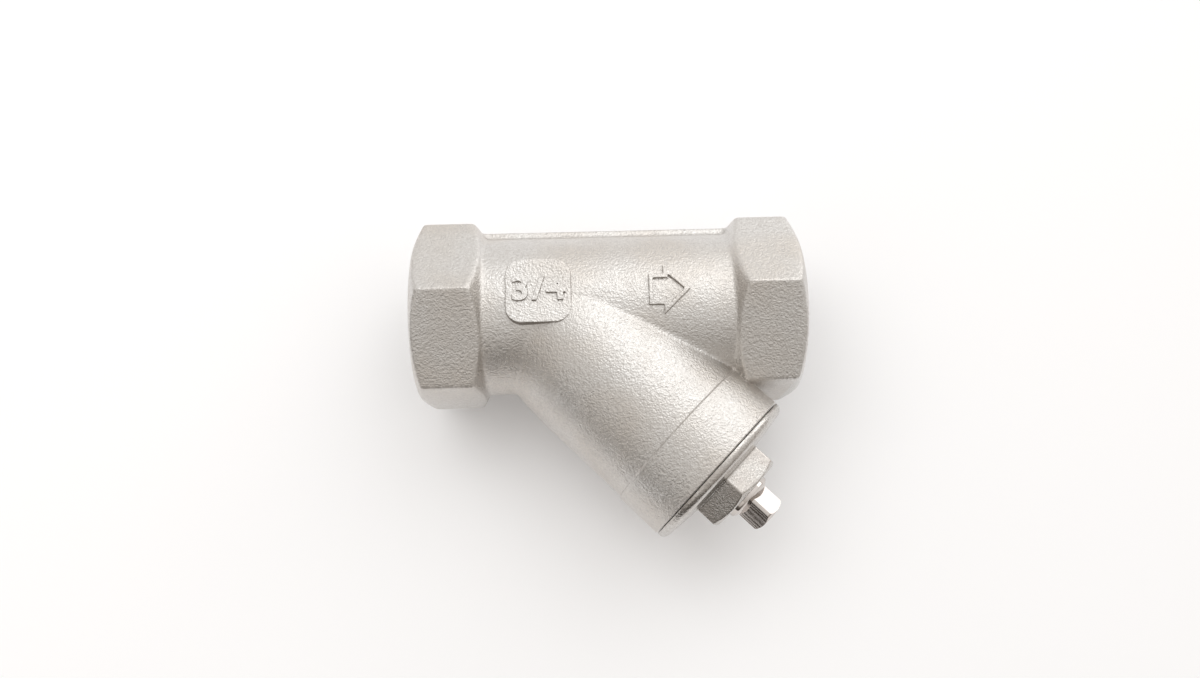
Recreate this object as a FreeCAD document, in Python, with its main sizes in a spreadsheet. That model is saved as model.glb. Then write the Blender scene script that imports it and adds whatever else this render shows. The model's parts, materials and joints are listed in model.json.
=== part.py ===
import FreeCAD, Part
import os
import re
import Sketcher

# Screwed Y strainer, nominal size 20 (G 3/4), investment-cast stainless steel.
# Frame: origin at the centre of the inlet face, +X along the flow, +Z up.
# The branch leans towards the outlet in the XY plane, on the -Y side.
# The cap, the plug and the screen are drawn upright, with z measured along the
# branch from where its axis meets the run's axis, and are then laid along it.

V = FreeCAD.Vector
doc = FreeCAD.newDocument("y_strainer")
sheet = doc.addObject("Spreadsheet::Sheet", "Sizes")

DRIVING = [
    ("run_length", 74.0, "inlet face to outlet face"),
    ("hex_width", 33.0, "across the flats of the hexagon ends"),
    ("hex_depth", 12.83, "end face to where the inner shoulder meets a flat"),
    ("end_face_radius", 15.5, "flat ring of each end face"),
    ("end_slope", 0.5, "outer chamfer, axial over radial"),
    ("shoulder_slope", 0.533, "inner shoulder, axial over radial"),
    ("tube_radius", 15.4, "outside of the run between the hexagons"),
    ("core_radius", 12.4, "cast hollow of the run"),
    ("port_minor", 12.06, "each port is bored to the crest of its G 3/4 thread"),
    ("port_major", 13.22, "root of that thread, cleared by the mouth chamfer"),
    ("port_depth", 15.5, "bored depth of each port"),
    ("branch_angle", 45.0, "lean of the branch from the run"),
    ("branch_foot", 25.75, "branch axis crosses the run axis here"),
    ("branch_radius", 16.35, "outside of the branch"),
    ("collar_start", 34.2, "along the branch"),
    ("collar_end", 44.1, "along the branch"),
    ("collar_radius", 16.75, "outside of the collar"),
    ("branch_core", 13.0, "cast hollow of the branch"),
    ("web_low", 1.0, "inlet side of the inner wall"),
    ("web_high", 4.2, "outlet side of the inner wall"),
    ("seat_radius", 8.6, "hole through the inner wall"),
    ("seat_recess_radius", 10.35, "recess that centres the screen"),
    ("seat_recess_depth", 1.2, "depth of that recess"),
    ("rib_half_width", 4.5, "rib along the back of the run"),
    ("rib_top", 16.35, "height of the rib from the run axis"),
    ("badge_size", 12.2, "square pad for the size mark"),
    ("badge_top", 15.9, "height of the pad from the run axis"),
    ("badge_centre", 24.0, "pad centre from the inlet face"),
    ("badge_corner", 3.0, "corner radius of the pad"),
    ("arrow_start", 44.4, "tail of the flow arrow"),
    ("arrow_rise", 0.45, "height of the arrow's line"),
    ("cap_pitch", 1.5, "M28 x 1.5"),
    ("cap_hole_minor", 13.2, "crest of the collar's internal thread"),
    ("cap_hole_major", 14.05, "root of the collar's internal thread"),
    ("thread_gap", 0.25, "radial gap between cap thread and collar thread"),
    ("collar_thread_start", 34.6, "along the branch"),
    ("gasket_recess_radius", 15.6, "counterbore at the mouth of the collar"),
    ("gasket_recess_depth", 0.8, "depth of that counterbore"),
    ("gasket_thickness", 1.0, "flat ring, stands a little proud"),
    ("gasket_inner", 14.2, "clears the cap thread"),
    ("gasket_outer", 15.45, "clears the counterbore"),
    ("cap_low", 36.0, "inner end of the cap"),
    ("flange_low", 44.35, "underside of the cap flange"),
    ("flange_radius", 16.8, "rim of the cap flange"),
    ("flange_thick", 1.8, "at the rim"),
    ("hex_low", 46.75, "foot of the cap hexagon"),
    ("hex_high", 51.6, "top of the cap hexagon"),
    ("cap_hex", 16.1, "across the flats"),
    ("cap_hex_turn", 12.8, "rest angle of a hexagon corner"),
    ("socket_radius", 10.25, "holds the lower end of the screen"),
    ("socket_floor", 42.5, "floor of that socket"),
    ("drain_minor", 4.28, "crest of the R 1/8 internal thread"),
    ("drain_major", 4.86, "root of the R 1/8 internal thread"),
    ("drain_pitch", 0.907, "28 threads per inch"),
    ("drain_start", 44.0, "first thread of the drain hole"),
    ("drain_mouth_radius", 5.3, "counterbore at the mouth of the drain hole"),
    ("drain_mouth_depth", 1.5, "depth of that counterbore"),
    ("plug_gap", 0.2, "radial gap between plug thread and cap thread"),
    ("plug_low", 44.9, "inner end of the plug"),
    ("neck_radius", 4.8, "plain neck of the plug"),
    ("relief_length", 1.3, "plain relief between the plug's thread and its neck"),
    ("neck_low", 50.2, "foot of the neck"),
    ("neck_high", 52.7, "top of the neck"),
    ("square_low", 53.2, "foot of the square head"),
    ("square_high", 57.8, "top of the square head"),
    ("square_side", 5.6, "across the flats of the square head"),
    ("square_turn", 9.0, "rest angle of a corner of the square"),
    ("screen_radius", 9.5, "outside of the perforated tube"),
    ("screen_wall", 0.5, "sheet thickness of the tube"),
    ("screen_low", 3.1, "upper end, on the seat"),
    ("screen_high", 42.3, "lower end, in the cap"),
    ("hole_radius", 1.5, "perforations"),
    ("hole_rows", 8, "rows of perforations"),
    ("holes_around", 12, "perforations in a row"),
    ("row_pitch", 4.0, "from row to row"),
    ("first_row", 8.4, "first row along the branch"),
    ("mesh_wall", 0.3, "woven lining"),
    ("mesh_gap", 0.05, "slack between the tube and its woven lining"),
    ("ring_radius", 10.0, "outside of the end rings"),
    ("ring_length", 2.4, "length of the end rings"),
    ("tape_inner", 4.9, "tape ring at the plug's neck"),
    ("tape_outer", 5.2, "tape ring at the plug's neck"),
]
for row, (alias, value, meaning) in enumerate(DRIVING, start=1):
    sheet.set(f"A{row}", meaning)
    sheet.set(f"B{row}", str(value))
    sheet.setAlias(f"B{row}", alias)
doc.recompute()


def size(alias):
    """Value of one driving dimension."""
    return float(sheet.get(alias))


def formula(text):
    """The expression with each alias written as the sheet's own cell."""
    aliases = {alias for alias, _, _ in DRIVING}
    return re.sub(r"[a-z_]+", lambda word: f"Sizes.{word[0]}" if word[0] in aliases else word[0], text)


def new_body(label):
    made = doc.addObject("PartDesign::Body", label)
    made.Label = label
    return made


def new_sketch(body, label, role, offset=None):
    """A sketch on one of the body's own origin planes, moved in that plane by offset."""
    sketch = body.newObject("Sketcher::SketchObject", label)
    plane = next(f for f in body.Origin.OriginFeatures if f.Role == role)
    sketch.AttachmentSupport = (plane, [""])
    sketch.MapMode = "FlatFace"
    if offset:
        sketch.AttachmentOffset = offset
    return sketch


def outline(sketch, corners):
    """Closed outline of straight lines, each corner pinned by two expressions."""
    start = sketch.GeometryCount
    count = len(corners)
    places = [V(*(float(sketch.evalExpression(formula(text))) for text in corner), 0) for corner in corners]
    for i in range(count):
        sketch.addGeometry(Part.LineSegment(places[i], places[(i + 1) % count]))
    for i in range(count):
        sketch.addConstraint(Sketcher.Constraint("Coincident", start + i, 2, start + (i + 1) % count, 1))
    for i, corner in enumerate(corners):
        for kind, text, value in zip(("DistanceX", "DistanceY"), corner, places[i]):
            index = sketch.addConstraint(Sketcher.Constraint(kind, -1, 1, start + i, 1, value))
            name = f"{kind}_{start + i}"
            sketch.renameConstraint(index, name)
            sketch.setExpression(f"Constraints.{name}", formula(text))


def circle(sketch, x, y, radius):
    """Circle whose centre and radius are expressions."""
    centre = V(float(sketch.evalExpression(formula(x))), float(sketch.evalExpression(formula(y))), 0)
    value = float(sketch.evalExpression(formula(radius)))
    geometry = sketch.addGeometry(Part.Circle(centre, V(0, 0, 1), value))
    rules = (("DistanceX", centre.x, x), ("DistanceY", centre.y, y))
    for kind, place, text in rules:
        index = sketch.addConstraint(Sketcher.Constraint(kind, -1, 1, geometry, 3, place))
        sketch.renameConstraint(index, f"{kind}_{geometry}")
        sketch.setExpression(f"Constraints.{kind}_{geometry}", formula(text))
    index = sketch.addConstraint(Sketcher.Constraint("Radius", geometry, value))
    sketch.renameConstraint(index, f"Radius_{geometry}")
    sketch.setExpression(f"Constraints.Radius_{geometry}", formula(radius))


def polygon_corners(sides, across, turn="0"):
    """Corners of a regular polygon of the given width across its flats."""
    step = 360 / sides
    reach = f"{across} / 2 / cos({180 / sides} deg)"
    return [(f"{reach} * cos(({turn} + {k * step}) * 1 deg)", f"{reach} * sin(({turn} + {k * step}) * 1 deg)")
            for k in range(sides)]


def feature(body, kind, label, sketch=None, bound=(), **values):
    """A feature of the body, with plain values set and the bound ones tied to the sheet."""
    made = body.newObject(f"PartDesign::{kind}", label)
    if sketch:
        made.Profile = sketch
    for name, value in values.items():
        setattr(made, name, value)
    for name, text in dict(bound).items():
        made.setExpression(name, formula(text))
    doc.recompute()
    return made


def turned(body, label, corners, plane="XZ_Plane", axis="V_Axis", offset=None, cut=False):
    """Solid or hollow of revolution from half of its section."""
    sketch = new_sketch(body, f"{label}_section", plane, offset)
    outline(sketch, corners)
    before = 0 if body.Tip is None else body.Shape.Volume
    made = feature(body, "Groove" if cut else "Revolution", label, sketch, ReferenceAxis=(sketch, [axis]),
                   Angle=360)
    check_change(made, before, cut)
    return made


def check_change(made, before, cut):
    """Stop if a feature added or took away nothing."""
    change = made.Shape.Volume - before
    if (change > -0.01) if cut else (change < 0.01):
        raise RuntimeError(f"{made.Label} changes nothing")


def pocket(body, label, sketch, **options):
    """Cut a sketch's area away, with the change checked."""
    before = body.Shape.Volume
    made = feature(body, "Pocket", label, sketch, **options)
    check_change(made, before, True)
    return made


def thread(body, label, start, turns, pitch, root, crest, flank, plane="XZ_Plane", axis="V_Axis", offset=None):
    """Right-hand thread cut as one V-shaped helical groove.

    root and crest are radii, start is where the groove's middle begins, and flank is the
    tangent of half the thread angle. The groove's floor is an eighth of the pitch wide.
    """
    outward = 1 if size(crest.split()[0]) > size(root.split()[0]) else -1
    mouth = f"{crest} + {0.15 * outward}"
    spread = f"({pitch} / 16 + ({outward} * (({crest}) - ({root})) + 0.15) * {flank})"
    corners = [
        (root, f"{start} - {pitch} / 16"),
        (root, f"{start} + {pitch} / 16"),
        (mouth, f"{start} + {spread}"),
        (mouth, f"{start} - {spread}"),
    ]
    if axis == "H_Axis":
        corners = [(along, radius) for radius, along in corners]
    sketch = new_sketch(body, f"{label}_section", plane, offset)
    outline(sketch, corners)
    before = body.Shape.Volume
    options = {"ReferenceAxis": (sketch, [axis]), "Mode": "pitch-turns-angle", "Turns": turns, "Angle": 0}
    made = feature(body, "SubtractiveHelix", label, sketch, {"Pitch": pitch}, **options)
    check_change(made, before, True)
    return made


ALONG_BRANCH = FreeCAD.Placement(
    V(size("branch_foot"), 0, 0), FreeCAD.Rotation(V(0, 0, 1), -size("branch_angle"))
)
BRANCH_X = V(0, 0, 1)
BRANCH_Z = ALONG_BRANCH.Rotation.multVec(V(1, 0, 0))
BRANCH_PLACE = FreeCAD.Placement(
    V(size("branch_foot"), 0, 0), FreeCAD.Rotation(BRANCH_X, BRANCH_Z.cross(BRANCH_X), BRANCH_Z, "ZXY")
)
METRIC_FLANK = "0.577"
PIPE_FLANK = "0.52"
CORE_CLEAR = 40


def casting():
    """The body: hexagon ends, run, branch, collar, rib, pad and arrow, then its hollows."""
    body = new_body("body")
    wide = "(hex_width / 2 * 1.17)"
    shoulder = f"hex_depth - shoulder_slope * ({wide} - hex_width / 2)"
    foot = "hex_depth + shoulder_slope * (hex_width / 2 - tube_radius)"
    half = [
        ("0", "0"),
        ("0", "end_face_radius"),
        (f"end_slope * ({wide} - end_face_radius)", wide),
        (shoulder, wide),
        (foot, "tube_radius"),
    ]
    far = [(f"run_length - ({along})", radius) for along, radius in reversed(half)]
    turned(body, "run_blank", half + far, "XY_Plane", "H_Axis")

    for end, face, inward in (("inlet", "0", True), ("outlet", "run_length", False)):
        sketch = new_sketch(body, f"{end}_flats_section", "YZ_Plane")
        sketch.setExpression("AttachmentOffset.Base.z", formula(face))
        circle(sketch, "0", "0", "hex_width")
        outline(sketch, polygon_corners(6, "hex_width", "30"))
        pocket(body, f"{end}_flats", sketch, bound={"Length": "hex_depth + 0.6"}, Reversed=inward)

    tail, neck, tip = "arrow_start", "(arrow_start + 2.8)", "(arrow_start + 7.7)"
    sketch = new_sketch(body, "arrow_outline", "XY_Plane")
    outer = [(tail, "3"), (neck, "3"), (neck, "4.8"), (tip, "0.1")]
    inner = [(f"{tail} + 0.8", "2.2"), (f"{neck} + 0.8", "2.2"), (f"{neck} + 0.8", "2.9"),
             (f"{tip} - 1.2", "0.1")]
    for side in (outer, inner):
        outline(sketch, side + [(x, f"-({y})") for x, y in reversed(side)])
    feature(body, "Pad", "arrow", sketch, {"Length": "tube_radius + 1"})
    sweep = [
        (f"{tail} - 1", "tube_radius + arrow_rise"),
        (f"{tip} + 1", "tube_radius + arrow_rise"),
        (f"{tip} + 1", "tube_radius + 4"),
        (f"{tail} - 1", "tube_radius + 4"),
    ]
    turned(body, "arrow_crown", sweep, "XY_Plane", "H_Axis", cut=True)

    turned(body, "branch", [
        ("-4", "0"),
        ("-4", "branch_radius - 1.85"),
        ("3", "branch_radius - 0.85"),
        ("9", "branch_radius - 0.25"),
        ("15", "branch_radius"),
        ("collar_start", "branch_radius + 0.15"),
        ("collar_start + 0.35", "collar_radius - 0.05"),
        ("collar_end - 0.1", "collar_radius + 0.05"),
        ("collar_end", "collar_radius - 0.05"),
        ("collar_end", "0"),
    ], "XY_Plane", "H_Axis", ALONG_BRANCH)

    sketch = new_sketch(body, "rib_side", "XY_Plane")
    ends = ("hex_depth - 2", "run_length - hex_depth + 2")
    outline(sketch, [(ends[0], "0"), (ends[1], "0"), (ends[1], "rib_top"), (ends[0], "rib_top")])
    feature(body, "Pad", "rib", sketch, {"Length": "2 * rib_half_width"}, SideType="Symmetric")

    sketch = new_sketch(body, "pad_outline", "XY_Plane")
    low, high = "badge_centre - badge_size / 2", "badge_centre + badge_size / 2"
    outline(sketch, [(low, "-badge_size / 2"), (high, "-badge_size / 2"), (high, "badge_size / 2"),
                     (low, "badge_size / 2")])
    pad = feature(body, "Pad", "size_pad", sketch, {"Length": "badge_top"})
    corners = [f"Edge{i}" for i, edge in enumerate(pad.Shape.Edges, start=1) if is_pad_corner(edge)]
    if len(corners) != 4:
        raise RuntimeError("the pad has four upright corners")
    feature(body, "Fillet", "size_pad_corners", bound={"Radius": "badge_corner"}, Base=(pad, corners))

    hollow_run(body)
    turned(body, "branch_hollow", [
        ("web_high", "0"),
        ("web_high", "branch_core"),
        ("collar_thread_start - 0.8", "branch_core"),
        ("collar_thread_start - 0.6", "cap_hole_minor"),
        ("collar_end - gasket_recess_depth", "cap_hole_minor"),
        ("collar_end - gasket_recess_depth", "gasket_recess_radius"),
        ("collar_end + 1", "gasket_recess_radius"),
        ("collar_end + 1", "0"),
    ], "XY_Plane", "H_Axis", ALONG_BRANCH, cut=True)
    turned(body, "screen_seat", [
        ("web_low - 2", "0"),
        ("web_low - 2", "seat_radius"),
        ("web_high - seat_recess_depth", "seat_radius"),
        ("web_high - seat_recess_depth", "seat_recess_radius"),
        ("web_high + 0.5", "seat_recess_radius"),
        ("web_high + 0.5", "0"),
    ], "XY_Plane", "H_Axis", ALONG_BRANCH, cut=True)
    port = [
        ("-1", "0"),
        ("-1", "port_major + 1.2"),
        ("port_major + 0.2 - port_minor", "port_minor"),
        ("port_depth", "port_minor"),
        ("port_depth", "0"),
    ]
    turned(body, "inlet_bore", port, "XY_Plane", "H_Axis", cut=True)
    port_out = [(f"run_length - ({along})", radius) for along, radius in port]
    turned(body, "outlet_bore", port_out, "XY_Plane", "H_Axis", cut=True)

    turns = (size("collar_end") - size("collar_thread_start")) / size("cap_pitch")
    thread(body, "collar_thread", "collar_thread_start", turns, "cap_pitch", "cap_hole_major",
           "cap_hole_minor", METRIC_FLANK, "XY_Plane", "H_Axis", ALONG_BRANCH)
    return body


def is_pad_corner(edge):
    """True for the four upright edges of the size pad."""
    if len(edge.Vertexes) != 2:
        return False
    foot, head = (vertex.Point for vertex in edge.Vertexes)
    reach = size("badge_size") / 2
    upright = abs(foot.x - head.x) < 1e-6 and abs(foot.y - head.y) < 1e-6
    at_corner = abs(abs(foot.x - size("badge_centre")) - reach) < 1e-3 and abs(abs(foot.y) - reach) < 1e-3
    return upright and at_corner


def hollow_run(body):
    """The cast hollow of the run, interrupted by the inner wall that carries the screen's seat."""
    core = new_body("run_core")
    ends = ("port_depth - 1", "run_length - port_depth + 1")
    turned(core, "core_bar", [(ends[0], "0"), (ends[0], "core_radius"), (ends[1], "core_radius"),
                              (ends[1], "0")], "XY_Plane", "H_Axis")
    sketch = new_sketch(core, "inner_wall_slot", "XY_Plane", ALONG_BRANCH)
    outline(sketch, [("web_low", "-30"), ("web_high", "-30"), ("web_high", "30"), ("web_low", "30")])
    pocket(core, "inner_wall", sketch, SideType="Symmetric", Length=CORE_CLEAR)
    before = body.Shape.Volume
    cut = feature(body, "Boolean", "run_hollow", Type="Cut", Group=[core])
    check_change(cut, before, True)


def cap():
    """Screwed cap: thread, flange and hexagon, with a socket for the screen and a drain hole."""
    body = new_body("cap")
    crest = "cap_hole_major - thread_gap"
    root = "cap_hole_minor - thread_gap"
    blank = "(cap_hex / 2 * 1.19)"
    turned(body, "cap_blank", [
        ("0", "cap_low"),
        (f"{root} - 0.1", "cap_low"),
        (crest, "cap_low + 0.8"),
        (crest, "flange_low - 1.1"),
        (f"{root} - 0.1", "flange_low - 0.9"),
        (f"{root} - 0.1", "flange_low"),
        ("flange_radius - 0.15", "flange_low"),
        ("flange_radius", "flange_low + 0.15"),
        ("flange_radius", "flange_low + 0.7"),
        ("flange_radius - 0.35", "flange_low + 1.4"),
        ("flange_radius - 1.1", "flange_low + flange_thick"),
        (blank, "hex_low"),
        (blank, f"hex_high - 0.577 * ({blank} - 7.7)"),
        ("7.7", "hex_high"),
        ("0", "hex_high"),
    ])
    sketch = new_sketch(body, "cap_flats_section", "XY_Plane")
    sketch.setExpression("AttachmentOffset.Base.z", formula("hex_low"))
    circle(sketch, "0", "0", "cap_hex")
    outline(sketch, polygon_corners(6, "cap_hex", "cap_hex_turn"))
    pocket(body, "cap_flats", sketch, bound={"Length": "hex_high - hex_low + 1"}, Reversed=True)
    turned(body, "screen_socket", [
        ("0", "cap_low - 1"),
        ("socket_radius + 1.5", "cap_low - 1"),
        ("socket_radius", "cap_low + 0.5"),
        ("socket_radius", "socket_floor"),
        ("0", "socket_floor"),
    ], cut=True)
    turned(body, "drain_hole", [
        ("0", "socket_floor - 1"),
        ("drain_minor", "socket_floor - 1"),
        ("drain_minor", "hex_high - drain_mouth_depth"),
        ("drain_mouth_radius", "hex_high - drain_mouth_depth"),
        ("drain_mouth_radius", "hex_high + 1"),
        ("0", "hex_high + 1"),
    ], cut=True)
    last = size("flange_low") - 0.85
    turns = (last - size("collar_thread_start")) / size("cap_pitch") - 0.75
    thread(body, "cap_thread", "collar_thread_start + 0.75 * cap_pitch", turns, "cap_pitch", root, crest,
           METRIC_FLANK)
    turns = (size("hex_high") - 1 - size("drain_start")) / size("drain_pitch")
    thread(body, "drain_thread", "drain_start", turns, "drain_pitch", "drain_major", "drain_minor", PIPE_FLANK)
    return body


def drain_plug():
    """Square-headed plug with a plain neck, screwed into the cap."""
    body = new_body("drain_plug")
    crest = "drain_major - plug_gap"
    root = "drain_minor - plug_gap"
    corner = "(square_side * 0.652)"
    turned(body, "plug_blank", [
        ("0", "plug_low"),
        (root, "plug_low"),
        (crest, "plug_low + 0.5"),
        (crest, "neck_low - relief_length"),
        (f"{root} - 0.1", "neck_low - relief_length + 0.3"),
        (f"{root} - 0.1", "neck_low"),
        ("neck_radius", "neck_low"),
        ("neck_radius", "neck_high - 0.3"),
        ("neck_radius - 0.3", "neck_high"),
        (corner, "square_low"),
        (corner, "square_high - 0.6"),
        (f"{corner} - 0.9", "square_high"),
        ("0", "square_high"),
    ])
    sketch = new_sketch(body, "square_section", "XY_Plane")
    sketch.setExpression("AttachmentOffset.Base.z", formula("square_low"))
    circle(sketch, "0", "0", "square_side")
    outline(sketch, polygon_corners(4, "square_side", "square_turn"))
    pocket(body, "square_flats", sketch, bound={"Length": "square_high - square_low + 1"}, Reversed=True)
    last = size("neck_low") - size("relief_length") + 0.3
    turns = (last - size("drain_start") - size("drain_pitch") / 2) / size("drain_pitch")
    thread(body, "plug_thread", "drain_start + 0.5 * drain_pitch", turns, "drain_pitch", root, crest, PIPE_FLANK)
    return body


def ring(label, inner, outer, low, high):
    """Plain ring or tube about the branch axis."""
    body = new_body(label)
    turned(body, f"{label}_bar", [(inner, low), (outer, low), (outer, high), (inner, high)])
    return body


def screen_tube():
    """Perforated tube: two sets of rows, each drilled across the tube, the second turned half a hole."""
    body = ring("screen_tube", "screen_radius - screen_wall", "screen_radius", "screen_low", "screen_high")
    half_step = 180 / size("holes_around")
    for number in (0, 1):
        offset = FreeCAD.Placement(V(), FreeCAD.Rotation(V(0, 1, 0), number * half_step))
        sketch = new_sketch(body, f"hole_{number}", "XZ_Plane", offset)
        circle(sketch, "0", f"first_row + {number} * row_pitch", "hole_radius")
        first = pocket(body, f"first_hole_{number}", sketch, SideType="Symmetric", Length=CORE_CLEAR)
        around = body.newObject("PartDesign::PolarPattern", f"around_{number}")
        around.Axis = (sketch, ["V_Axis"])
        around.setExpression("Angle", formula("180 - 360 / holes_around"))
        around.setExpression("Occurrences", formula("holes_around / 2"))
        along = body.newObject("PartDesign::LinearPattern", f"along_{number}")
        along.Direction = (sketch, ["V_Axis"])
        along.setExpression("Length", formula("row_pitch * (hole_rows - 2)"))
        along.setExpression("Occurrences", formula("hole_rows / 2"))
        both = body.newObject("PartDesign::MultiTransform", f"holes_{number}")
        both.Originals = [first]
        both.Transformations = [around, along]
        body.Tip = both
        doc.recompute()
    return body


lining = "screen_radius - screen_wall - mesh_gap"
casting_body = casting()
along_branch = [
    cap(),
    drain_plug(),
    screen_tube(),
    ring("screen_mesh", f"{lining} - mesh_wall", lining, "screen_low", "screen_high"),
    ring("screen_top_ring", "screen_radius", "ring_radius", "screen_low + 0.05", "screen_low + ring_length"),
    ring("screen_bottom_ring", "screen_radius", "ring_radius", "screen_high - ring_length", "screen_high - 0.05"),
    ring("cap_gasket", "gasket_inner", "gasket_outer", "collar_end - gasket_recess_depth",
         "collar_end - gasket_recess_depth + gasket_thickness"),
    ring("plug_tape", "tape_inner", "tape_outer", "hex_high - drain_mouth_depth + 0.1", "hex_high - 0.1"),
]
for body in along_branch:
    body.Placement = BRANCH_PLACE
doc.recompute()

for item in doc.Objects:
    if "Invalid" in item.State or "Error" in item.State:
        raise RuntimeError(f"{item.Label} failed: {item.State}")
os.makedirs("parts", exist_ok=True)
for body in [casting_body] + along_branch:
    shape = body.Shape
    if shape.isNull() or not shape.isValid() or len(shape.Solids) != 1:
        raise RuntimeError(f"{body.Label} is not one valid solid")
    shape.exportStep(f"parts/{body.Label}.step")
    print(body.Label, round(shape.Volume, 1))
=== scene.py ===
import json
import math
import bpy
from mathutils import Matrix, Vector


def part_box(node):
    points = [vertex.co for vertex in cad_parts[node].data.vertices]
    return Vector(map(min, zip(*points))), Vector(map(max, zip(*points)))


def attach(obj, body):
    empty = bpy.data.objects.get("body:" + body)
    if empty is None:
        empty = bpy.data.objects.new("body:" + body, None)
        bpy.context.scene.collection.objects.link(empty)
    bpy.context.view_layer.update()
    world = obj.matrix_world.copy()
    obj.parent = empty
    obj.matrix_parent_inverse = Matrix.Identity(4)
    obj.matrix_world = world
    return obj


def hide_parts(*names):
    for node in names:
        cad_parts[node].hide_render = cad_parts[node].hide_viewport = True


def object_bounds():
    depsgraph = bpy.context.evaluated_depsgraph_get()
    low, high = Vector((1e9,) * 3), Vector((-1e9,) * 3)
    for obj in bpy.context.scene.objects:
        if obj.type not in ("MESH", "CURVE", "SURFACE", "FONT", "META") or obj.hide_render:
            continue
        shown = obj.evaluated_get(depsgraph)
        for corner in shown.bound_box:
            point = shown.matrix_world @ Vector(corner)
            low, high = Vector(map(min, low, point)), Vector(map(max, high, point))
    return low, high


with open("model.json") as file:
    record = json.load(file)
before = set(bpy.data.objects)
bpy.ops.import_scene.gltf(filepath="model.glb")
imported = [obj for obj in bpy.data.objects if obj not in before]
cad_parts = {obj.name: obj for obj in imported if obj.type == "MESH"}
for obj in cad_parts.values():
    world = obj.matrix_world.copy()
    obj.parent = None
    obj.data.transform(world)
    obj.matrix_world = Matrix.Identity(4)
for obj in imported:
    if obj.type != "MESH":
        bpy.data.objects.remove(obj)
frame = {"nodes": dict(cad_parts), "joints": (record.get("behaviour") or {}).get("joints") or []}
cad_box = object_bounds()
mm = 0.001


# ---------------------------------------------------------------------------
# The table it lies on, the camera and the lights.
# The strainer rests on the lower corners of its hexagon ends and on the rim of the
# branch, so the table is tilted a little about the run.
camera = bpy.data.objects.new("camera", bpy.data.cameras.new("camera"))
bpy.context.scene.collection.objects.link(camera)
bpy.context.scene.camera = camera
camera.location = (31.34 * mm, -55.29 * mm, 180.29 * mm)
camera.rotation_euler = [math.radians(angle) for angle in (15.617, -0.812, -1.789)]
camera.data.lens = 28.25
camera.data.sensor_width = 36
camera.data.clip_start = 0.01

body_low, body_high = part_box("body")
rest_tilt = math.radians(4.1)
table_drop = body_low.z / math.cos(rest_tilt)
bpy.ops.object.select_all(action="DESELECT")
bpy.ops.mesh.primitive_plane_add(size=0.44, location=(0, 0, table_drop), rotation=(rest_tilt, 0, 0))
table = bpy.context.object
table.name = "table"
cloth = bpy.data.materials.new("pale_cloth")
cloth.use_nodes = True
shader = cloth.node_tree.nodes["Principled BSDF"]
shader.inputs["Base Color"].default_value = (0.90, 0.90, 0.91, 1)
shader.inputs["Roughness"].default_value = 0.9
shader.inputs["Specular IOR Level"].default_value = 0.1
shader.inputs["Emission Color"].default_value = (1.0, 0.99, 0.985, 1)
shader.inputs["Emission Strength"].default_value = 0.06
table.data.materials.append(cloth)


def node(tree, kind, place, **values):
    """New node at a place in the tree, with its plain values set."""
    made = tree.nodes.new(kind)
    made.location = place
    for name, value in values.items():
        setattr(made, name, value)
    return made


def from_bearing(bearing, height):
    """Direction towards a compass bearing from +Y round to +X, at a height above the horizon, in degrees."""
    level = math.cos(math.radians(height))
    return Vector((level * math.sin(math.radians(bearing)), level * math.cos(math.radians(bearing)),
                   math.sin(math.radians(height))))


# A room that is brightest high up on the far side and dark behind the camera.
world = bpy.data.worlds.new("studio")
bpy.context.scene.world = world
world.use_nodes = True
sky = world.node_tree
direction = node(sky, "ShaderNodeTexCoord", (-900, 0)).outputs["Generated"]
towards_window = node(sky, "ShaderNodeVectorMath", (-700, 0), operation="DOT_PRODUCT")
towards_window.inputs[1].default_value = from_bearing(20, 50)
sky.links.new(direction, towards_window.inputs[0])
room = node(sky, "ShaderNodeValToRGB", (-500, 0))
for place, level in ((0.0, 0.05), (0.2, 0.09), (0.32, 0.23), (0.42, 0.42), (0.55, 0.58), (0.68, 0.70),
                     (0.85, 0.90), (1.0, 1.12)):
    stop = room.color_ramp.elements.new(place) if 0 < place < 1 else room.color_ramp.elements[-round(place)]
    warmth = 0.2 * max(0, 1 - level)
    stop.color = (level, level * (0.99 - warmth / 2), level * (0.975 - warmth), 1)
spread = node(sky, "ShaderNodeMapRange", (-600, 200))
spread.inputs["From Min"].default_value = -1.0
sky.links.new(towards_window.outputs["Value"], spread.inputs["Value"])
sky.links.new(spread.outputs["Result"], room.inputs["Fac"])
sky.links.new(room.outputs["Color"], sky.nodes["Background"].inputs["Color"])
sky.nodes["Background"].inputs["Strength"].default_value = 1.0


def softbox(name, bearing, height, away, side, power):
    """Square area light in a direction from the strainer, aimed at it."""
    lamp = bpy.data.objects.new(name, bpy.data.lights.new(name, "AREA"))
    bpy.context.scene.collection.objects.link(lamp)
    lamp.data.shape = "SQUARE"
    lamp.data.size = side
    lamp.data.energy = power
    lamp.location = centre + from_bearing(bearing, height) * away
    lamp.rotation_euler = from_bearing(bearing, height).to_track_quat("Z", "Y").to_euler()
    return lamp


centre = (cad_box[0] + cad_box[1]) / 2
softbox("window", 47, 18, 0.6, 0.3, 0.35)
softbox("ceiling", 22, 56, 0.6, 0.35, 0.42)
softbox("left_fill", -130, 32, 0.6, 0.35, 0.13)
# This one whitens the table and throws the soft shadow, without a glint of its own.
softbox("table_light", -55, 62, 0.5, 0.3, 0.54).visible_glossy = False
bpy.context.scene.view_settings.view_transform = "Standard"


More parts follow.
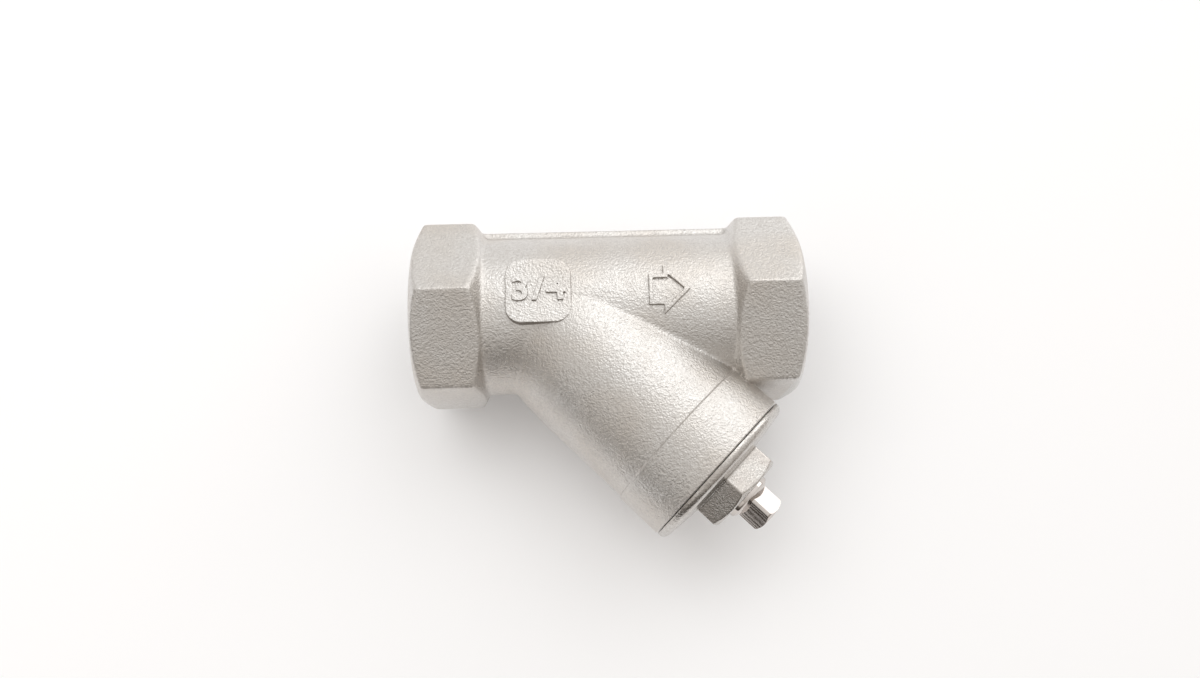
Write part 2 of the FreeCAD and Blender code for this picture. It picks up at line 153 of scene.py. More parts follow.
# ---------------------------------------------------------------------------
# The body: one investment casting in stainless steel. Two hexagon ends, the run
# between them, the branch with its collar, a rib along the back, a pad for the size
# mark and a raised flow arrow, all with the rounded corners of the wax pattern.
cap_joint = next(joint for joint in frame["joints"] if joint["name"] == "cap_turn")
branch_axis = Vector(cap_joint["axis"]).normalized()
on_axis = Vector(cap_joint["pos_m"])
branch_foot = on_axis - branch_axis * (on_axis.y / branch_axis.y)
up = Vector((0, 0, 1))
branch_place = Matrix((up, branch_axis.cross(up), branch_axis)).transposed().to_4x4()
branch_place.translation = branch_foot
run_place = Matrix.Rotation(math.radians(90), 4, "Y")
run_length = body_high.x - body_low.x
hex_width = 33 * mm
hex_depth = 12.83 * mm
end_face_radius = 15.5 * mm
blank_radius = 19.3 * mm
end_slope = 0.5
shoulder_slope = 0.533
tube_radius = 15.4 * mm
collar_start = 34.2 * mm
collar_end = 44.16 * mm
branch_radius = 16.35 * mm
collar_radius = 16.75 * mm


def start_piece(name, place=(0, 0, 0)):
    """A single point in edit mode, from which a piece is drawn out."""
    bpy.ops.object.select_all(action="DESELECT")
    bpy.ops.mesh.primitive_plane_add(size=mm)
    piece = bpy.context.object
    piece.name = name
    bpy.ops.object.mode_set(mode="EDIT")
    bpy.ops.mesh.merge(type="CENTER")
    bpy.ops.transform.translate(value=place)
    return piece


def draw_on(corners):
    """Extend the selected point along straight lines from the first corner to the last."""
    for corner, following in zip(corners, corners[1:]):
        step = Vector(following) - Vector(corner)
        bpy.ops.mesh.extrude_region_move(TRANSFORM_OT_translate={"value": step})
    bpy.ops.mesh.select_all(action="SELECT")


def settle(piece, place):
    """Close the seams, face outwards and put the piece where it belongs, unturned."""
    bpy.ops.mesh.select_all(action="SELECT")
    bpy.ops.mesh.remove_doubles(threshold=0.001 * mm)
    bpy.ops.mesh.normals_make_consistent(inside=False)
    bpy.ops.object.mode_set(mode="OBJECT")
    piece.matrix_world = place
    bpy.ops.object.transform_apply()
    return piece


def turn_on_lathe(name, section, place, steps=144):
    """Closed turned solid. The section is a list of (distance along the axis, radius)."""
    corners = [(radius, 0, along) for along, radius in section]
    piece = start_piece(name, corners[0])
    draw_on(corners)
    bpy.ops.mesh.spin(steps=steps, angle=math.tau, center=(0, 0, 0), axis=(0, 0, 1))
    return settle(piece, place)


def slab(name, corners, low, high, place=Matrix.Identity(4)):
    """Upright solid with a flat outline of (x, y) corners, from one height to another."""
    outline = [(x, y, low) for x, y in corners]
    piece = start_piece(name, outline[0])
    draw_on(outline)
    bpy.ops.mesh.edge_face_add()
    bpy.ops.mesh.extrude_region_move(TRANSFORM_OT_translate={"value": (0, 0, high - low)})
    return settle(piece, place)


def apply_modifier(piece, kind, **values):
    """Add one modifier with its values, and apply it."""
    bpy.ops.object.select_all(action="DESELECT")
    piece.select_set(True)
    bpy.context.view_layer.objects.active = piece
    modifier = piece.modifiers.new(kind.lower(), kind)
    for name, value in values.items():
        setattr(modifier, name, value)
    bpy.ops.object.modifier_apply(modifier=modifier.name)


def combine(piece, tool, operation):
    """Join, cut or intersect with a tool, which is used up."""
    apply_modifier(piece, "BOOLEAN", operation=operation, object=tool, solver="MANIFOLD")
    bpy.data.objects.remove(tool)
    if not piece.data.polygons:
        raise RuntimeError(f"{piece.name} was lost in {operation}")


def round_off(piece, voxel, passes, kept):
    """Give every edge the soft radius of a cast part: even mesh, relaxed, then thinned."""
    apply_modifier(piece, "REMESH", mode="VOXEL", voxel_size=voxel)
    apply_modifier(piece, "SMOOTH", factor=0.5, iterations=passes)
    apply_modifier(piece, "DECIMATE", ratio=kept)


def prism_bar(name, sides, across, low, high, turn, place):
    """Bar with flat sides along the place's Z, with a corner at the given angle from its X."""
    bpy.ops.object.select_all(action="DESELECT")
    corner = across / 2 / math.cos(math.pi / sides)
    bpy.ops.mesh.primitive_cylinder_add(vertices=sides, radius=corner, depth=high - low,
                                        location=(0, 0, (low + high) / 2))
    piece = bpy.context.object
    piece.name = name
    bpy.ops.object.transform_apply()
    # The primitive's first corner is on +Y.
    piece.matrix_world = place @ Matrix.Rotation(turn - math.pi / 2, 4, "Z")
    bpy.ops.object.transform_apply()
    return piece


half_run = [
    (0, 0),
    (0, end_face_radius),
    (end_slope * (blank_radius - end_face_radius), blank_radius),
    (hex_depth - shoulder_slope * (blank_radius - hex_width / 2), blank_radius),
    (hex_depth + shoulder_slope * (hex_width / 2 - tube_radius), tube_radius),
]
whole_run = half_run + [(run_length - along, radius) for along, radius in reversed(half_run)]
casting = turn_on_lathe("body_casting", whole_run, run_place)
combine(casting, prism_bar("hexagon", 6, hex_width, 0, run_length, 0, run_place), "INTERSECT")

branch_section = [
    (-4 * mm, 0),
    (-4 * mm, branch_radius - 1.7 * mm),
    (3 * mm, branch_radius - 0.8 * mm),
    (9 * mm, branch_radius - 0.2 * mm),
    (15 * mm, branch_radius + 0.05 * mm),
    (collar_end, branch_radius + 0.05 * mm),
    (collar_end, 0),
]
combine(casting, turn_on_lathe("branch", branch_section, branch_place), "UNION")

rib_half_width = 4.5 * mm
rib_top = 16.35 * mm
rib_ends = (hex_depth - 2 * mm, run_length - hex_depth + 2 * mm)
rib_outline = [(rib_ends[0], 0), (rib_ends[1], 0), (rib_ends[1], rib_top), (rib_ends[0], rib_top)]
combine(casting, slab("rib", rib_outline, -rib_half_width, rib_half_width), "UNION")
round_off(casting, 0.28 * mm, 22, 0.36)

# The collar stands a little proud of the branch, with a fine step at its inner end.
collar_section = [
    (collar_start - 1 * mm, 0),
    (collar_start - 1 * mm, branch_radius - 0.3 * mm),
    (collar_start, branch_radius),
    (collar_start + 0.4 * mm, collar_radius - 0.03 * mm),
    (collar_start + 0.8 * mm, collar_radius + 0.02 * mm),
    (collar_end - 0.2 * mm, collar_radius + 0.1 * mm),
    (collar_end, collar_radius - 0.1 * mm),
    (collar_end, 0),
]
combine(casting, turn_on_lathe("collar", collar_section, branch_place), "UNION")

pad_centre = Vector((24 * mm, 0.2 * mm, 0))
pad_half = 6.1 * mm
pad_top = 15.9 * mm
pad_corner = 3 * mm


def rounded_square(centre, half, corner, steps=8):
    """Corners of a square outline whose four corners are round."""
    outline = []
    for quarter in range(4):
        middle = math.radians(45 + 90 * quarter)
        reach = (half - corner) * math.sqrt(2)
        hub = Vector((centre.x + reach * math.cos(middle), centre.y + reach * math.sin(middle)))
        for step in range(steps + 1):
            angle = math.radians(90 * (quarter + step / steps))
            outline.append((hub.x + corner * math.cos(angle), hub.y + corner * math.sin(angle)))
    return outline


pad = slab("size_pad", rounded_square(pad_centre, pad_half, pad_corner), 10 * mm, pad_top)
round_off(pad, 0.15 * mm, 8, 0.3)
combine(casting, pad, "UNION")

# The mark on the pad is the pipe size, in raised figures.
bpy.ops.object.select_all(action="DESELECT")
bpy.ops.object.text_add(location=(pad_centre.x, 0.3 * mm, pad_top - 0.3 * mm))
figures = bpy.context.object
figures.name = "size_figures"
figures.data.body = "3/4"
figures.data.size = 6.2 * mm
figures.data.space_character = 1.15
figures.data.align_x = "CENTER"
figures.data.align_y = "CENTER"
figures.data.extrude = 0.72 * mm
figures.data.offset = 0.2 * mm
figures.scale.x = 1.15
bpy.ops.object.convert(target="MESH")
bpy.ops.object.transform_apply()
round_off(figures, 0.08 * mm, 8, 0.3)
combine(casting, figures, "UNION")

# The flow arrow is a raised outline that follows the round of the run.
arrow_tail = 44.4 * mm
arrow_neck = arrow_tail + 2.8 * mm
arrow_tip = arrow_tail + 7.7 * mm
arrow_rise = 0.48 * mm
arrow_line = 0.8 * mm


def mirrored(outline):
    """The outline's upper half, followed by its lower half."""
    return outline + [(x, -y) for x, y in reversed(outline)]


arrow_outer = [(arrow_tail, 3 * mm), (arrow_neck, 3 * mm), (arrow_neck, 4.8 * mm), (arrow_tip, 0.1 * mm)]
arrow_inner = [
    (arrow_tail + arrow_line, 2.2 * mm),
    (arrow_neck + arrow_line, 2.2 * mm),
    (arrow_neck + arrow_line, 2.9 * mm),
    (arrow_tip - 1.5 * arrow_line, 0.1 * mm),
]
arrow = slab("flow_arrow", mirrored(arrow_outer), 13 * mm, 18 * mm)
combine(arrow, slab("arrow_inside", mirrored(arrow_inner), 12 * mm, 19 * mm), "DIFFERENCE")
crown = [(arrow_tail - mm, 0), (arrow_tail - mm, tube_radius + arrow_rise),
         (arrow_tip + mm, tube_radius + arrow_rise), (arrow_tip + mm, 0)]
combine(arrow, turn_on_lathe("crown", crown, run_place), "INTERSECT")
round_off(arrow, 0.1 * mm, 12, 0.4)
combine(casting, arrow, "UNION")


# ---------------------------------------------------------------------------
# The body's hollows. The waterway is cast, with a slanted wall across it that carries
# the seat of the screen. The ports, the collar's mouth and their threads are machined.
port_minor = 12.06 * mm
port_major = 13.22 * mm
port_pitch = 1.814 * mm
port_depth = 15.5 * mm
port_thread_length = 13 * mm
core_radius = 12.4 * mm
wall_low = 1.0 * mm
wall_high = 4.2 * mm
branch_core = 13.0 * mm
seat_radius = 8.6 * mm
seat_recess_radius = 10.35 * mm
seat_recess_depth = 1.2 * mm
cap_pitch = 1.5 * mm
collar_minor = 13.2 * mm
collar_major = 14.05 * mm
collar_thread_start = 34.6 * mm
gasket_recess_radius = 15.6 * mm
gasket_recess_depth = 0.8 * mm
pipe_flank = 0.52
metric_flank = 0.577


def thread_cutter(name, start, length, pitch, root, crest, flank, place, steps=72):
    """Helical tool that cuts a right-hand V thread between a root and a crest radius."""
    outward = 1 if crest > root else -1
    mouth = crest + outward * 0.15 * mm
    floor_half = pitch / 16
    mouth_half = floor_half + abs(mouth - root) * flank
    corners = [(root, 0, start - floor_half), (root, 0, start + floor_half),
               (mouth, 0, start + mouth_half), (mouth, 0, start - mouth_half)]
    piece = start_piece(name, corners[0])
    draw_on(corners)
    bpy.ops.mesh.edge_face_add()
    bpy.ops.mesh.delete(type="ONLY_FACE")
    bpy.ops.object.mode_set(mode="OBJECT")
    turns = length / pitch
    apply_modifier(piece, "SCREW", angle=math.tau * turns, screw_offset=length, steps=round(steps * turns),
                   render_steps=round(steps * turns), use_smooth_shade=False)
    bpy.ops.object.mode_set(mode="EDIT")
    bpy.ops.mesh.select_all(action="SELECT")
    bpy.ops.mesh.fill_holes(sides=len(corners))
    return settle(piece, place)


hollow_ends = (port_depth - mm, run_length - port_depth + mm)
hollow = turn_on_lathe("run_hollow", [(hollow_ends[0], 0), (hollow_ends[0], core_radius),
                                      (hollow_ends[1], core_radius), (hollow_ends[1], 0)], run_place)
combine(hollow, turn_on_lathe("inner_wall", [(wall_low, 0), (wall_low, 40 * mm), (wall_high, 40 * mm),
                                             (wall_high, 0)], branch_place), "DIFFERENCE")
combine(casting, hollow, "DIFFERENCE")
mouth_section = [
    (wall_high, 0),
    (wall_high, branch_core),
    (collar_thread_start - 0.8 * mm, branch_core),
    (collar_thread_start - 0.6 * mm, collar_minor),
    (collar_end - gasket_recess_depth, collar_minor),
    (collar_end - gasket_recess_depth, gasket_recess_radius),
    (collar_end + mm, gasket_recess_radius),
    (collar_end + mm, 0),
]
combine(casting, turn_on_lathe("branch_hollow", mouth_section, branch_place), "DIFFERENCE")
seat_section = [
    (wall_low - 2 * mm, 0),
    (wall_low - 2 * mm, seat_radius),
    (wall_high - seat_recess_depth, seat_radius),
    (wall_high - seat_recess_depth, seat_recess_radius),
    (wall_high + 0.5 * mm, seat_recess_radius),
    (wall_high + 0.5 * mm, 0),
]
combine(casting, turn_on_lathe("screen_seat", seat_section, branch_place), "DIFFERENCE")
port_section = [
    (-mm, 0),
    (-mm, port_major + 1.2 * mm),
    (port_major + 0.2 * mm - port_minor, port_minor),
    (port_depth, port_minor),
    (port_depth, 0),
]
outlet_place = Matrix.Translation((run_length, 0, 0)) @ Matrix.Rotation(math.radians(-90), 4, "Y")
for place in (run_place, outlet_place):
    combine(casting, turn_on_lathe("port_bore", port_section, place), "DIFFERENCE")
    combine(casting, thread_cutter("port_thread", -mm, port_thread_length + mm, port_pitch, port_major,
                                   port_minor, pipe_flank, place), "DIFFERENCE")
collar_thread_length = collar_end - collar_thread_start
combine(casting, thread_cutter("collar_thread", collar_thread_start, collar_thread_length, cap_pitch,
                               collar_major, collar_minor, metric_flank, branch_place), "DIFFERENCE")

# Shader node group for a blasted or cast skin: two sizes of grain in the surface, and
# patches of warmer and duller metal. Every cast piece uses it with its own values.
grain = bpy.data.node_groups.new("cast_grain", "ShaderNodeTree")
for name, value in (("Coarse Size", 0.7), ("Fine Size", 0.22), ("Coarse Share", 0.6), ("Patch Size", 9.0)):
    socket = grain.interface.new_socket(name, in_out="INPUT", socket_type="NodeSocketFloat")
    socket.default_value = value
for name in ("Height", "Pits", "Patches"):
    grain.interface.new_socket(name, in_out="OUTPUT", socket_type="NodeSocketFloat")


def noise_in_mm(tree, source, size, place, detail):
    """Noise whose lumps have the size, in millimetres, that a socket gives."""
    per_metre = node(tree, "ShaderNodeMath", (place[0] - 200, place[1]), operation="DIVIDE")
    per_metre.inputs[0].default_value = 1000
    tree.links.new(size, per_metre.inputs[1])
    noise = node(tree, "ShaderNodeTexNoise", place)
    noise.inputs["Detail"].default_value = detail
    tree.links.new(source, noise.inputs["Vector"])
    tree.links.new(per_metre.outputs[0], noise.inputs["Scale"])
    return noise.outputs["Fac"]


def stretched(tree, value, low, high, place):
    """The value stretched so that low becomes 0 and high becomes 1."""
    made = node(tree, "ShaderNodeMapRange", place)
    made.inputs["From Min"].default_value = low
    made.inputs["From Max"].default_value = high
    tree.links.new(value, made.inputs["Value"])
    return made.outputs["Result"]


inputs = node(grain, "NodeGroupInput", (-900, 0))
outputs = node(grain, "NodeGroupOutput", (500, 0))
in_body = node(grain, "ShaderNodeTexCoord", (-900, 300)).outputs["Object"]
coarse = noise_in_mm(grain, in_body, inputs.outputs["Coarse Size"], (-400, 300), 2)
fine = noise_in_mm(grain, in_body, inputs.outputs["Fine Size"], (-400, 0), 1)
patch = noise_in_mm(grain, in_body, inputs.outputs["Patch Size"], (-400, -300), 2)
height = node(grain, "ShaderNodeMix", (0, 200), data_type="FLOAT")
grain.links.new(inputs.outputs["Coarse Share"], height.inputs["Factor"])
grain.links.new(fine, height.inputs["A"])
grain.links.new(coarse, height.inputs["B"])
grain.links.new(height.outputs["Result"], outputs.inputs["Height"])
grain.links.new(stretched(grain, height.outputs["Result"], 0.62, 0.32, (0, 0)), outputs.inputs["Pits"])
grain.links.new(stretched(grain, patch, 0.4, 0.65, (0, -300)), outputs.inputs["Patches"])


def mix_colour(tree, factor, colour_a, colour_b, place):
    """Mix of two colours, each a socket or a plain colour."""
    made = node(tree, "ShaderNodeMix", place, data_type="RGBA")
    tree.links.new(factor, made.inputs[0])
    for socket, colour in ((made.inputs[6], colour_a), (made.inputs[7], colour_b)):
        if isinstance(colour, bpy.types.NodeSocket):
            tree.links.new(colour, socket)
        else:
            socket.default_value = (*colour, 1)
    return made.outputs[2]


def cast_metal(name, clean, warm, pit, roughness, depth, sizes):
    """Cast stainless steel: patchy colour, darker pits and a grained surface."""
    material = bpy.data.materials.new(name)
    material.use_nodes = True
    tree = material.node_tree
    shader = tree.nodes["Principled BSDF"]
    shader.inputs["Metallic"].default_value = 1.0
    group = node(tree, "ShaderNodeGroup", (-800, 0), node_tree=grain)
    for socket, value in sizes.items():
        group.inputs[socket].default_value = value
    colour = mix_colour(tree, group.outputs["Patches"], clean, warm, (-500, 300))
    colour = mix_colour(tree, group.outputs["Pits"], colour, pit, (-300, 300))
    tree.links.new(colour, shader.inputs["Base Color"])
    rough = node(tree, "ShaderNodeMapRange", (-300, 0))
    rough.inputs["To Min"].default_value = roughness[0]
    rough.inputs["To Max"].default_value = roughness[1]
    tree.links.new(group.outputs["Patches"], rough.inputs["Value"])
    tree.links.new(rough.outputs["Result"], shader.inputs["Roughness"])
    relief = node(tree, "ShaderNodeBump", (-300, -300))
    relief.inputs["Strength"].default_value = 1.0
    relief.inputs["Distance"].default_value = depth
    tree.links.new(group.outputs["Height"], relief.inputs["Height"])
    tree.links.new(relief.outputs["Normal"], shader.inputs["Normal"])
    return material


def turned_metal(name, colour, roughness, ring_gap, depth, place):
    """Machined stainless steel, with fine rings left by the tool round the place's Z axis."""
    material = bpy.data.materials.new(name)
    material.use_nodes = True
    tree = material.node_tree
    shader = tree.nodes["Principled BSDF"]
    shader.inputs["Metallic"].default_value = 1.0
    shader.inputs["Base Color"].default_value = (*colour, 1)
    on_axis = node(tree, "ShaderNodeMapping", (-900, 0), vector_type="TEXTURE")
    on_axis.inputs["Location"].default_value = place.to_translation()
    on_axis.inputs["Rotation"].default_value = place.to_euler()
    tree.links.new(node(tree, "ShaderNodeTexCoord", (-1100, 0)).outputs["Object"], on_axis.inputs["Vector"])
    rings = node(tree, "ShaderNodeTexWave", (-700, 0), wave_type="RINGS", rings_direction="Z")
    # One wave is a twentieth of a unit at scale 1.
    rings.inputs["Scale"].default_value = 0.05 / ring_gap * math.tau
    rings.inputs["Distortion"].default_value = 1.5
    rings.inputs["Detail"].default_value = 3
    tree.links.new(on_axis.outputs["Vector"], rings.inputs["Vector"])
    rough = node(tree, "ShaderNodeMapRange", (-400, 0))
    rough.inputs["To Min"].default_value = roughness
    rough.inputs["To Max"].default_value = roughness + 0.12
    tree.links.new(rings.outputs["Fac"], rough.inputs["Value"])
    tree.links.new(rough.outputs["Result"], shader.inputs["Roughness"])
    relief = node(tree, "ShaderNodeBump", (-400, -300))
    relief.inputs["Strength"].default_value = 0.5
    relief.inputs["Distance"].default_value = depth
    tree.links.new(rings.outputs["Fac"], relief.inputs["Height"])
    tree.links.new(relief.outputs["Normal"], shader.inputs["Normal"])
    return material


def finish_piece(piece, body, stands_for, smooth_below):
    """Smooth shading up to an angle, then the piece rides on its body in place of a node."""
    bpy.ops.object.select_all(action="DESELECT")
    piece.select_set(True)
    bpy.context.view_layer.objects.active = piece
    bpy.ops.object.shade_smooth_by_angle(angle=math.radians(smooth_below))
    apply_modifier(piece, "WEIGHTED_NORMAL", keep_sharp=True)
    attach(piece, body)
    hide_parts(stands_for)


casting.data.materials.clear()
casting.data.materials.append(cast_metal(
    "blasted_casting", (0.74, 0.725, 0.705), (0.70, 0.66, 0.615), (0.60, 0.575, 0.55), (0.36, 0.42),
    0.25 * mm,
    {"Coarse Size": 0.56, "Fine Size": 0.33, "Coarse Share": 0.5, "Patch Size": 14}))
casting.data.materials.append(turned_metal("machined_ports", (0.66, 0.65, 0.63), 0.22, 0.2 * mm, 0.01 * mm,
                                           run_place))
casting.data.materials.append(turned_metal("machined_collar", (0.66, 0.65, 0.63), 0.22, 0.2 * mm, 0.01 * mm,
                                           branch_place))
# The fourth material is darker metal for the steep sides of the marks: painted shade in their crevices.
casting.data.materials.append(cast_metal(
    "painted_shade_edges", (0.40, 0.37, 0.34), (0.36, 0.32, 0.29), (0.32, 0.29, 0.26), (0.45, 0.50), 0.1 * mm,
    {"Coarse Size": 0.62, "Fine Size": 0.36, "Coarse Share": 0.5, "Patch Size": 14}))
into_branch = branch_place.inverted()
end_slack = 0.02 * mm
wall_slack = 0.01 * mm
marks_above = 13 * mm
arrow_half_width = 5 * mm
steep_on_pad = 0.75
steep_on_arrow = 0.8


def beside_a_mark(middle, normal):
    """True for the steep sides of the pad, its figures and the flow arrow, which get a darker material as
    painted shade in their crevices.
    """
    if middle.z < marks_above:
        return False
    on_pad = max(abs(middle.x - pad_centre.x), abs(middle.y - pad_centre.y)) < pad_half + 0.05 * mm
    if on_pad:
        return normal.z < steep_on_pad
    along_arrow = arrow_tail - 0.1 * mm < middle.x < arrow_tip + 0.1 * mm
    raised = math.hypot(middle.y, middle.z) > tube_radius + 0.06 * mm
    outward = Vector((0, middle.y, middle.z)).normalized()
    on_arrow = along_arrow and abs(middle.y) < arrow_half_width and raised
    return on_arrow and normal.dot(outward) < steep_on_arrow


# The steep sides of the pad, figures and arrow get the darker fourth material, painted shade.
for face in casting.data.polygons:
    middle = face.center
    from_end = min(middle.x, run_length - middle.x)
    from_run = math.hypot(middle.y, middle.z)
    beside = into_branch @ middle
    from_branch = math.hypot(beside.x, beside.y)
    if from_end < end_slack or (from_end < port_depth and from_run < port_major + 1.4 * mm):
        face.material_index = 1
    elif beside.z > collar_end - end_slack or (
            beside.z > collar_thread_start - 0.8 * mm and from_branch < gasket_recess_radius + wall_slack):
        face.material_index = 2
    else:
        face.material_index = 3 if beside_a_mark(middle, face.normal) else 0
finish_piece(casting, "strainer_body", "body", 35)


# ---------------------------------------------------------------------------
# The cap: cast like the body, less heavily blasted. A flange with a rounded rim, a
# hexagon for the spanner, a threaded shank with a socket for the screen, and a drain
# hole tapped through the hexagon.
cap_low = 36.0 * mm
thread_gap = 0.25 * mm
flange_low = 44.26 * mm
flange_radius = 16.8 * mm
flange_thick = 1.8 * mm
cap_hex_low = 46.75 * mm
cap_hex_high = 51.6 * mm
cap_hex = 16.1 * mm
cap_hex_turn = math.radians(12.8)
socket_radius = 10.25 * mm
socket_floor = 42.5 * mm
drain_minor = 4.28 * mm
drain_major = 4.86 * mm
drain_pitch = 0.907 * mm
drain_start = 44.0 * mm
drain_mouth_radius = 5.3 * mm
drain_mouth_depth = 1.5 * mm
shank_crest = collar_major - thread_gap
shank_root = collar_minor - thread_gap
hex_corner = cap_hex / 2 / math.cos(math.pi / 6)
hex_face_radius = 7.7 * mm

hex_blank = [
    (cap_hex_low - mm, 0),
    (cap_hex_low - mm, hex_corner + mm),
    (cap_hex_high - 0.577 * (hex_corner + mm - hex_face_radius), hex_corner + mm),
    (cap_hex_high, hex_face_radius),
    (cap_hex_high, 0),
]
cap = turn_on_lathe("screwed_cap", hex_blank, branch_place)
combine(cap, prism_bar("cap_hexagon", 6, cap_hex, cap_hex_low - mm, cap_hex_high + mm, cap_hex_turn,
                       branch_place), "INTERSECT")
flange_section = [
    (flange_low, 0),
    (flange_low, flange_radius - 0.1 * mm),
    (flange_low + 0.1 * mm, flange_radius),
    (flange_low + 0.7 * mm, flange_radius),
    (flange_low + 1.15 * mm, flange_radius - 0.2 * mm),
    (flange_low + 1.5 * mm, flange_radius - 0.55 * mm),
    (flange_low + flange_thick, flange_radius - 1.2 * mm),
    (cap_hex_low, hex_corner + 0.6 * mm),
    (cap_hex_low, 0),
]
combine(cap, turn_on_lathe("flange", flange_section, branch_place), "UNION")
round_off(cap, 0.16 * mm, 3, 0.32)
shank_section = [
    (cap_low, 0),
    (cap_low, shank_root - 0.1 * mm),
    (cap_low + 0.8 * mm, shank_crest),
    (flange_low - 1.1 * mm, shank_crest),
    (flange_low - 0.9 * mm, shank_root - 0.1 * mm),
    (flange_low + 0.5 * mm, shank_root - 0.1 * mm),
    (flange_low + 0.5 * mm, 0),
]
combine(cap, turn_on_lathe("shank", shank_section, branch_place), "UNION")
socket_section = [
    (cap_low - mm, 0),
    (cap_low - mm, socket_radius + 1.5 * mm),
    (cap_low + 0.5 * mm, socket_radius),
    (socket_floor, socket_radius),
    (socket_floor, 0),
]
combine(cap, turn_on_lathe("screen_socket", socket_section, branch_place), "DIFFERENCE")
drain_section = [
    (socket_floor - mm, 0),
    (socket_floor - mm, drain_minor),
    (cap_hex_high - drain_mouth_depth, drain_minor),
    (cap_hex_high - drain_mouth_depth, drain_mouth_radius),
    (cap_hex_high + mm, drain_mouth_radius),
    (cap_hex_high + mm, 0),
]
combine(cap, turn_on_lathe("drain_hole", drain_section, branch_place), "DIFFERENCE")
shank_thread_start = collar_thread_start + 0.75 * cap_pitch
combine(cap, thread_cutter("cap_thread", shank_thread_start, flange_low - 0.85 * mm - shank_thread_start,
                           cap_pitch, shank_root, shank_crest, metric_flank, branch_place), "DIFFERENCE")
combine(cap, thread_cutter("drain_thread", drain_start, cap_hex_high - mm - drain_start, drain_pitch,
                           drain_major, drain_minor, pipe_flank, branch_place, 48), "DIFFERENCE")
cap.data.materials.clear()
cap.data.materials.append(cast_metal(
    "cap_casting", (0.66, 0.645, 0.62), (0.60, 0.565, 0.53), (0.48, 0.45, 0.425), (0.22, 0.28), 0.07 * mm,
    {"Coarse Size": 0.6, "Fine Size": 0.3, "Coarse Share": 0.5, "Patch Size": 5}))
cap.data.materials.append(turned_metal("machined_cap", (0.66, 0.65, 0.63), 0.22, 0.2 * mm, 0.01 * mm,
                                       branch_place))
for face in cap.data.polygons:
    beside = into_branch @ face.center
    in_drain = math.hypot(beside.x, beside.y) < drain_mouth_radius + wall_slack
    face.material_index = 1 if beside.z < flange_low + wall_slack or in_drain else 0
finish_piece(cap, "cap", "cap", 35)


# ---------------------------------------------------------------------------
# The drain plug: turned and milled from bright bar. A short thread, a plain neck and a
# square head with rounded corners and a chamfered end.
plug_gap = 0.2 * mm
plug_low = 44.9 * mm
neck_radius = 4.8 * mm
relief_length = 1.3 * mm
neck_low = 50.2 * mm
neck_high = 52.7 * mm
square_low = 53.2 * mm
square_high = 57.8 * mm
square_side = 5.6 * mm
square_turn = math.radians(9)
plug_crest = drain_major - plug_gap
plug_root = drain_minor - plug_gap
square_corner = square_side * 0.652

head_blank = [
    (square_low - mm, 0),
    (square_low - mm, square_corner),
    (square_high - 0.75 * mm, square_corner),
    (square_high - 0.45 * mm, square_corner - 0.2 * mm),
    (square_high, square_corner - 0.95 * mm),
    (square_high, 0),
]
plug = turn_on_lathe("square_plug", head_blank, branch_place, 96)
combine(plug, prism_bar("square_head", 4, square_side, square_low - 1.5 * mm, square_high + mm, square_turn,
                        branch_place), "INTERSECT")
neck_section = [
    (plug_low, 0),
    (plug_low, plug_root),
    (plug_low + 0.5 * mm, plug_crest),
    (neck_low - relief_length, plug_crest),
    (neck_low - relief_length + 0.3 * mm, plug_root - 0.1 * mm),
    (neck_low, plug_root - 0.1 * mm),
    (neck_low, neck_radius),
    (neck_high - 0.5 * mm, neck_radius),
    (neck_high - 0.2 * mm, neck_radius - 0.1 * mm),
    (neck_high, neck_radius - 0.35 * mm),
    (square_low - 0.1 * mm, square_corner + 0.15 * mm),
    (square_low + 0.5 * mm, square_side / 2 - 0.05 * mm),
    (square_low + 0.5 * mm, 0),
]
combine(plug, turn_on_lathe("neck", neck_section, branch_place, 96), "UNION")
plug_thread_start = drain_start + drain_pitch / 2
plug_thread_end = neck_low - relief_length + 0.3 * mm
plug_thread_length = plug_thread_end - plug_thread_start
combine(plug, thread_cutter("plug_thread", plug_thread_start, plug_thread_length, drain_pitch,
                            plug_root, plug_crest, pipe_flank, branch_place, 48), "DIFFERENCE")
plug.data.materials.clear()
plug.data.materials.append(turned_metal("bright_bar", (0.63, 0.585, 0.555), 0.05, 0.25 * mm, 0.002 * mm,
                                        branch_place))
finish_piece(plug, "plug", "drain_plug", 25)


# ---------------------------------------------------------------------------
# The screen, its gasket and the plug's tape keep their CAD shapes. The tube is rolled
# from perforated sheet, lined with fine woven wire, between two pressed end rings.
def dress(name, material):
    """Give a CAD node one material."""
    frame["nodes"][name].data.materials.clear()
    frame["nodes"][name].data.materials.append(material)


lining_radius = 9 * mm
gap_shadow = (0.02, 0.02, 0.02)


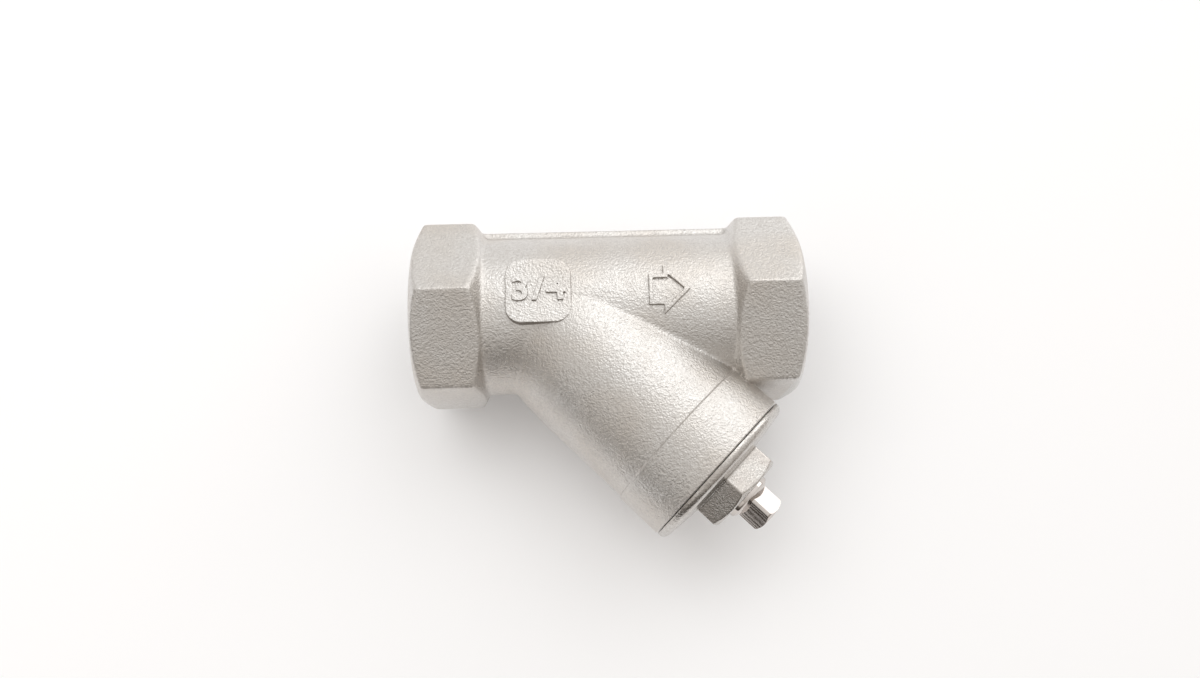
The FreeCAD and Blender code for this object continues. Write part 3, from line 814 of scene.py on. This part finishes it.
def woven_wire(name, colour, wire_gap, place):
    """Plain-woven wire cloth wrapped round the place's Z axis."""
    material = bpy.data.materials.new(name)
    material.use_nodes = True
    tree = material.node_tree
    shader = tree.nodes["Principled BSDF"]
    shader.inputs["Metallic"].default_value = 1.0
    shader.inputs["Roughness"].default_value = 0.35
    on_axis = node(tree, "ShaderNodeMapping", (-1100, 0), vector_type="TEXTURE")
    on_axis.inputs["Location"].default_value = place.to_translation()
    on_axis.inputs["Rotation"].default_value = place.to_euler()
    tree.links.new(node(tree, "ShaderNodeTexCoord", (-1300, 0)).outputs["Object"], on_axis.inputs["Vector"])
    parts = node(tree, "ShaderNodeSeparateXYZ", (-950, 0))
    tree.links.new(on_axis.outputs["Vector"], parts.inputs["Vector"])
    around = node(tree, "ShaderNodeMath", (-800, 150), operation="ARCTAN2")
    tree.links.new(parts.outputs["Y"], around.inputs[0])
    tree.links.new(parts.outputs["X"], around.inputs[1])
    waves = []
    for source, rate, height in ((around.outputs[0], lining_radius / wire_gap * math.pi, 150),
                                 (parts.outputs["Z"], math.pi / wire_gap, -150)):
        phase = node(tree, "ShaderNodeMath", (-650, height), operation="MULTIPLY")
        phase.inputs[1].default_value = rate
        tree.links.new(source, phase.inputs[0])
        wave = node(tree, "ShaderNodeMath", (-500, height), operation="SINE")
        tree.links.new(phase.outputs[0], wave.inputs[0])
        size = node(tree, "ShaderNodeMath", (-350, height), operation="ABSOLUTE")
        tree.links.new(wave.outputs[0], size.inputs[0])
        waves.append(size.outputs[0])
    wires = node(tree, "ShaderNodeMath", (-200, 0), operation="MAXIMUM")
    tree.links.new(waves[0], wires.inputs[0])
    tree.links.new(waves[1], wires.inputs[1])
    shade = stretched(tree, wires.outputs[0], 0.55, 0.95, (-50, 150))
    woven = mix_colour(tree, shade, gap_shadow, colour, (100, 150))
    tree.links.new(woven, shader.inputs["Base Color"])
    relief = node(tree, "ShaderNodeBump", (100, -200))
    relief.inputs["Distance"].default_value = 0.15 * mm
    tree.links.new(wires.outputs[0], relief.inputs["Height"])
    tree.links.new(relief.outputs["Normal"], shader.inputs["Normal"])
    return material


perforated = cast_metal("perforated_sheet", (0.68, 0.67, 0.65), (0.60, 0.58, 0.55), (0.5, 0.48, 0.46),
                        (0.25, 0.33), 0.02 * mm,
                        {"Coarse Size": 0.9, "Fine Size": 0.2, "Coarse Share": 0.3, "Patch Size": 5})
for name in ("screen_tube", "screen_top_ring", "screen_bottom_ring"):
    dress(name, perforated)
dress("screen_mesh", woven_wire("wire_cloth", (0.62, 0.61, 0.59), 0.35 * mm, branch_place))


def white_plastic(name, colour, roughness, depth):
    """Soft white PTFE with a faint mottle."""
    material = bpy.data.materials.new(name)
    material.use_nodes = True
    tree = material.node_tree
    shader = tree.nodes["Principled BSDF"]
    shader.inputs["Roughness"].default_value = roughness
    shader.inputs["Subsurface Weight"].default_value = 0.2
    shader.inputs["Subsurface Scale"].default_value = mm
    group = node(tree, "ShaderNodeGroup", (-800, 0), node_tree=grain)
    group.inputs["Coarse Size"].default_value = 0.6
    group.inputs["Patch Size"].default_value = 3
    dusty = tuple(channel * 0.9 for channel in colour)
    tree.links.new(mix_colour(tree, group.outputs["Patches"], colour, dusty, (-400, 200)),
                   shader.inputs["Base Color"])
    relief = node(tree, "ShaderNodeBump", (-400, -200))
    relief.inputs["Distance"].default_value = depth
    tree.links.new(group.outputs["Height"], relief.inputs["Height"])
    tree.links.new(relief.outputs["Normal"], shader.inputs["Normal"])
    return material


dress("cap_gasket", white_plastic("gasket_ptfe", (0.80, 0.79, 0.76), 0.5, 0.03 * mm))
dress("plug_tape", white_plastic("tape_ptfe", (0.85, 0.85, 0.84), 0.45, 0.05 * mm))
